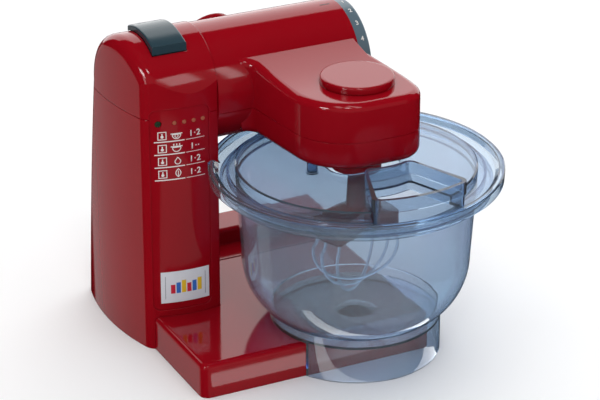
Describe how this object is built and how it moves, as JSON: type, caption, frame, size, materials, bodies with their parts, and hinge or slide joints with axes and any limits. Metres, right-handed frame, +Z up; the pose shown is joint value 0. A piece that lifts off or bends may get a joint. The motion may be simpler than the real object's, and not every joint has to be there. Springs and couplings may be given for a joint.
{
  "type": "toy food processor",
  "caption": "Toy kitchen machine: hinged drive arm with turning whisk over a clear lidded bowl, on a base with a column, speed dial and arm release button.",
  "frame": {"origin": "on the bowl's and whisk's axis, in the plane of the base's underside", "axes": "+X along the barrel from the column to the speed dial, +Y to the back, +Z up"},
  "size_m": [0.2517, 0.277, 0.2346],
  "materials": {
    "red_plastic": "high gloss moulded",
    "clear_blue_plastic": "clear tinted, polished",
    "slate_plastic": "satin gloss",
    "maroon_plastic": "gloss",
    "frosted_plastic": "translucent",
    "green_lens": "clear lens",
    "red_lens": "clear lens",
    "steel": "bright",
    "plated_contact": "plated spring strip",
    "cell_wrap": "shrink sleeve",
    "board": "solder mask",
    "dark_plastic": "moulded",
    "white_print": "pad-printed ink",
    "dark_print": "pad-printed ink",
    "sticker_paper": "coated paper",
    "sticker_ink": "printed colours",
    "white_gear_plastic": "moulded"
  },
  "bodies": {
    "stand": {"base_plate": "red_plastic", "bottom_cover": "red_plastic", "battery_door": "red_plastic", "batteries": "cell_wrap", "battery_contacts": "plated_contact", "cover_screws": "steel", "column_shell": "red_plastic", "head_shell": "red_plastic", "front_panel": "red_plastic", "power_lamp": "green_lens", "indicator_lamps": "red_lens", "circuit_board": "board", "pivot_bush": "dark_plastic", "button_springs": "steel", "latch_pin": "steel", "bowl": "clear_blue_plastic"},
    "arm": {"arm_upper_shell": "red_plastic", "arm_lower_shell": "red_plastic", "drive_collar": "red_plastic", "arm_journal": "dark_plastic", "ratchet_disc": "dark_plastic", "drive_cover": "red_plastic", "rear_drive_cover": "red_plastic", "motor": "steel", "gear_plate": "dark_plastic", "idler_axle": "steel", "shaft_bushes": "white_gear_plastic", "gear_plate_screws": "steel", "rotary_switch": "dark_plastic"},
    "lid": {"lid": "clear_blue_plastic"},
    "dial": {"speed_dial": "slate_plastic", "dial_shaft": "dark_plastic"},
    "button": {"release_button": "slate_plastic"},
    "latch": {"latch_lever": "dark_plastic"},
    "spindle": {"drive_gear": "white_gear_plastic", "drive_shaft": "white_gear_plastic", "whisk_carrier": "maroon_plastic", "whisk_wires": "frosted_plastic"},
    "idler": {"idler_gear": "white_gear_plastic"},
    "motor_rotor": {"motor_pinion": "white_gear_plastic"}
  },
  "joints": [
    {"name": "arm_swing", "type": "hinge", "parent": "stand", "child": "arm", "pos_m": [0, 0.0914, 0.187], "axis": [-1, 0, 0], "range_deg": [0, 70]},
    {"name": "lid_slide", "type": "slide", "parent": "arm", "child": "lid", "axis": [0, -1, 0], "range_m": [0, 0.12]},
    {"name": "dial_turn", "type": "hinge", "parent": "arm", "child": "dial", "pos_m": [0.034, 0.0914, 0.187], "axis": [-1, 0, 0], "range_deg": [-17.4, 52.2]},
    {"name": "button_press", "type": "slide", "parent": "stand", "child": "button", "axis": [0, 0, -1], "range_m": [0, 0.003], "stiffness_N_per_m": 300, "springref_m": -0.002, "deforming": ["button_springs"]},
    {"name": "latch_tilt", "type": "hinge", "parent": "stand", "child": "latch", "pos_m": [-0.113, 0.086, 0.219], "axis": [1, 0, 0], "range_deg": [0, 15]},
    {"name": "whisk_spin", "type": "hinge", "parent": "arm", "child": "spindle", "pos_m": [0, 0, 0.1], "axis": [0, 0, 1], "continuous": true},
    {"name": "idler_spin", "type": "hinge", "parent": "arm", "child": "idler", "pos_m": [-0.00486, 0.02757, 0.167], "axis": [0, 0, 1], "continuous": true},
    {"name": "motor_spin", "type": "hinge", "parent": "arm", "child": "motor_rotor", "pos_m": [-0.02478, 0.03907, 0.17], "axis": [0, 0, 1], "continuous": true}
  ],
  "couplings": [
    {"joint": "latch_tilt", "follows": "button_press", "rad_per_m": 85},
    {"joint": "idler_spin", "follows": "whisk_spin", "ratio": -3.6667},
    {"joint": "motor_spin", "follows": "whisk_spin", "ratio": 13.2}
  ]
}
